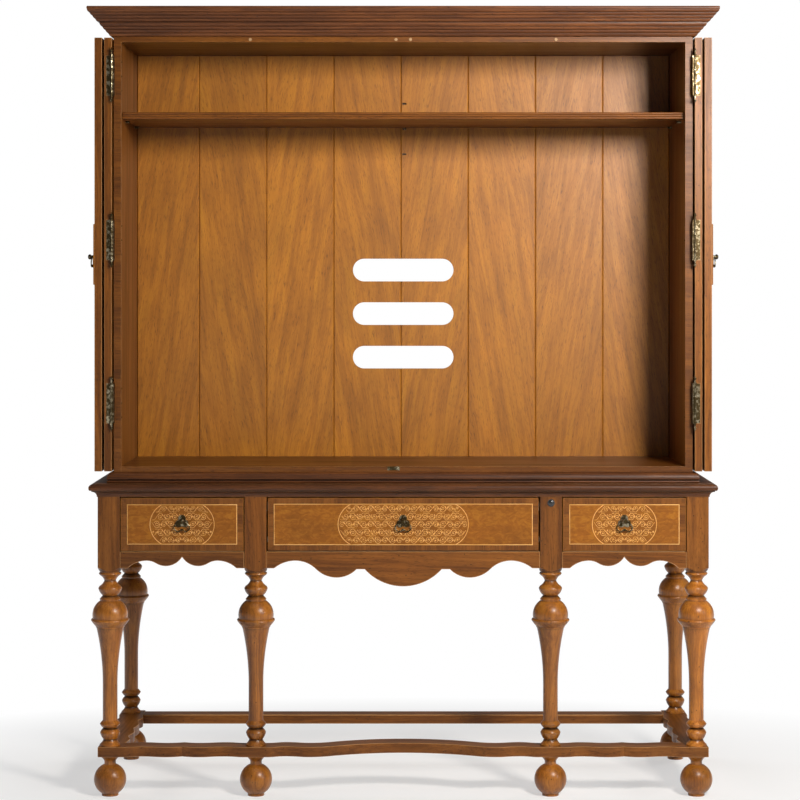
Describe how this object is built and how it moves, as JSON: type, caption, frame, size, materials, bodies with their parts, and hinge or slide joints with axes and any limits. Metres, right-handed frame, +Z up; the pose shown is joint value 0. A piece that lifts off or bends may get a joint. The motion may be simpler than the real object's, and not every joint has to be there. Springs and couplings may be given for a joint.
{
  "type": "tv armoire",
  "caption": "Tall television armoire: open case with fold-back bi-fold doors, shelf and slotted back, on a drawer stand with turned legs, wavy stretchers and ball feet.",
  "frame": {"origin": "on the floor, under the centre of the bounding box with both pairs of doors folded back", "axes": "+X to the right as seen from the front, +Y to the back, +Z up; the front faces -Y"},
  "size_m": [1.632, 0.5485, 2.03],
  "materials": {
    "carcase_walnut": "satin lacquer over stained, distressed walnut",
    "panel_walnut": "satin lacquer over lighter golden-brown walnut",
    "veneer_walnut": "satin lacquer over figured walnut veneer with pale inlay",
    "drawer_maple": "clear lacquer",
    "antique_brass": "aged, rubbed",
    "black_lens": "polished",
    "brown_felt": "felt",
    "white_nylon": "moulded"
  },
  "bodies": {
    "cabinet": {"apron_middle": "carcase_walnut", "aprons_side": "carcase_walnut", "back_battens": "panel_walnut", "back_boards": "panel_walnut", "ball_feet": "carcase_walnut", "case_floor": "carcase_walnut", "case_hinges": "antique_brass", "case_lipping": "carcase_walnut", "case_side_left": "carcase_walnut", "case_side_right": "carcase_walnut", "case_top": "carcase_walnut", "cornice": "carcase_walnut", "door_bumpers": "brown_felt", "door_catch": "antique_brass", "drawer_partitions": "drawer_maple", "drawer_runners": "drawer_maple", "ir_eye": "black_lens", "leg_back_left": "carcase_walnut", "leg_back_right": "carcase_walnut", "leg_front_left": "carcase_walnut", "leg_front_mid_left": "carcase_walnut", "leg_front_mid_right": "carcase_walnut", "leg_front_right": "carcase_walnut", "shelf": "carcase_walnut", "shelf_pins": "antique_brass", "stand_rails": "carcase_walnut", "stand_top": "carcase_walnut", "stretcher_back": "carcase_walnut", "stretchers_front": "carcase_walnut", "stretchers_side": "carcase_walnut", "waist_moulding": "carcase_walnut"},
    "left_outer_leaf": {"leaf_left_outer": "veneer_walnut", "leaf_left_outer_hinges": "antique_brass"},
    "left_inner_leaf": {"leaf_left_inner": "veneer_walnut", "leaf_left_inner_hinges": "antique_brass", "leaf_left_plaque": "veneer_walnut", "leaf_left_pull": "antique_brass"},
    "left_door_bail": {"leaf_left_bail": "antique_brass"},
    "left_drawer": {"drawer_left_front": "veneer_walnut", "drawer_left_box": "drawer_maple", "drawer_left_pull": "antique_brass"},
    "left_drawer_bail": {"drawer_left_bail": "antique_brass"},
    "right_outer_leaf": {"leaf_right_outer": "veneer_walnut", "leaf_right_outer_hinges": "antique_brass"},
    "right_inner_leaf": {"leaf_right_inner": "veneer_walnut", "leaf_right_inner_hinges": "antique_brass", "leaf_right_plaque": "veneer_walnut", "leaf_right_pull": "antique_brass"},
    "right_door_bail": {"leaf_right_bail": "antique_brass"},
    "right_drawer": {"drawer_right_front": "veneer_walnut", "drawer_right_box": "drawer_maple", "drawer_right_pull": "antique_brass"},
    "right_drawer_bail": {"drawer_right_bail": "antique_brass"},
    "middle_drawer": {"drawer_middle_box": "drawer_maple", "drawer_middle_hinges": "antique_brass", "drawer_middle_catches": "white_nylon"},
    "middle_flap": {"drawer_middle_flap": "veneer_walnut", "drawer_middle_pull": "antique_brass"},
    "middle_drawer_bail": {"drawer_middle_bail": "antique_brass"}
  },
  "joints": [
    {"name": "left_door_hinge", "type": "hinge", "parent": "cabinet", "child": "left_outer_leaf", "pos_m": [-0.7512, -0.23355, 1.39475], "axis": [0, 0, 1], "range_deg": [0, 270]},
    {"name": "left_leaf_fold", "type": "hinge", "parent": "left_outer_leaf", "child": "left_inner_leaf", "pos_m": [-0.774, 0.14465, 1.39475], "axis": [0, 0, -1], "range_deg": [0, 180]},
    {"name": "left_door_bail_swing", "type": "hinge", "parent": "left_inner_leaf", "child": "left_door_bail", "pos_m": [-0.8052, -0.20035, 1.389], "axis": [0, 1, 0], "range_deg": [0, 90]},
    {"name": "right_door_hinge", "type": "hinge", "parent": "cabinet", "child": "right_outer_leaf", "pos_m": [0.7512, -0.23355, 1.39475], "axis": [0, 0, -1], "range_deg": [0, 270]},
    {"name": "right_leaf_fold", "type": "hinge", "parent": "right_outer_leaf", "child": "right_inner_leaf", "pos_m": [0.774, 0.14465, 1.39475], "axis": [0, 0, 1], "range_deg": [0, 180]},
    {"name": "right_door_bail_swing", "type": "hinge", "parent": "right_inner_leaf", "child": "right_door_bail", "pos_m": [0.8052, -0.20035, 1.389], "axis": [0, -1, 0], "range_deg": [0, 90]},
    {"name": "left_drawer_slide", "type": "slide", "parent": "cabinet", "child": "left_drawer", "axis": [0, -1, 0], "range_m": [0, 0.3]},
    {"name": "left_drawer_bail_swing", "type": "hinge", "parent": "left_drawer", "child": "left_drawer_bail", "pos_m": [-0.56825, -0.25245, 0.71], "axis": [-1, 0, 0], "range_deg": [0, 90]},
    {"name": "right_drawer_slide", "type": "slide", "parent": "cabinet", "child": "right_drawer", "axis": [0, -1, 0], "range_m": [0, 0.3]},
    {"name": "right_drawer_bail_swing", "type": "hinge", "parent": "right_drawer", "child": "right_drawer_bail", "pos_m": [0.56825, -0.25245, 0.71], "axis": [-1, 0, 0], "range_deg": [0, 90]},
    {"name": "middle_drawer_slide", "type": "slide", "parent": "cabinet", "child": "middle_drawer", "axis": [0, -1, 0], "range_m": [0, 0.3]},
    {"name": "middle_flap_drop", "type": "hinge", "parent": "middle_drawer", "child": "middle_flap", "pos_m": [0, -0.24225, 0.637], "axis": [1, 0, 0], "range_deg": [0, 90]},
    {"name": "middle_drawer_bail_swing", "type": "hinge", "parent": "middle_flap", "child": "middle_drawer_bail", "pos_m": [0, -0.25245, 0.71], "axis": [-1, 0, 0], "range_deg": [0, 90]}
  ],
  "couplings": [
    {"joint": "left_leaf_fold", "follows": "left_door_hinge", "ratio": 0.66666},
    {"joint": "right_leaf_fold", "follows": "right_door_hinge", "ratio": 0.66666}
  ]
}
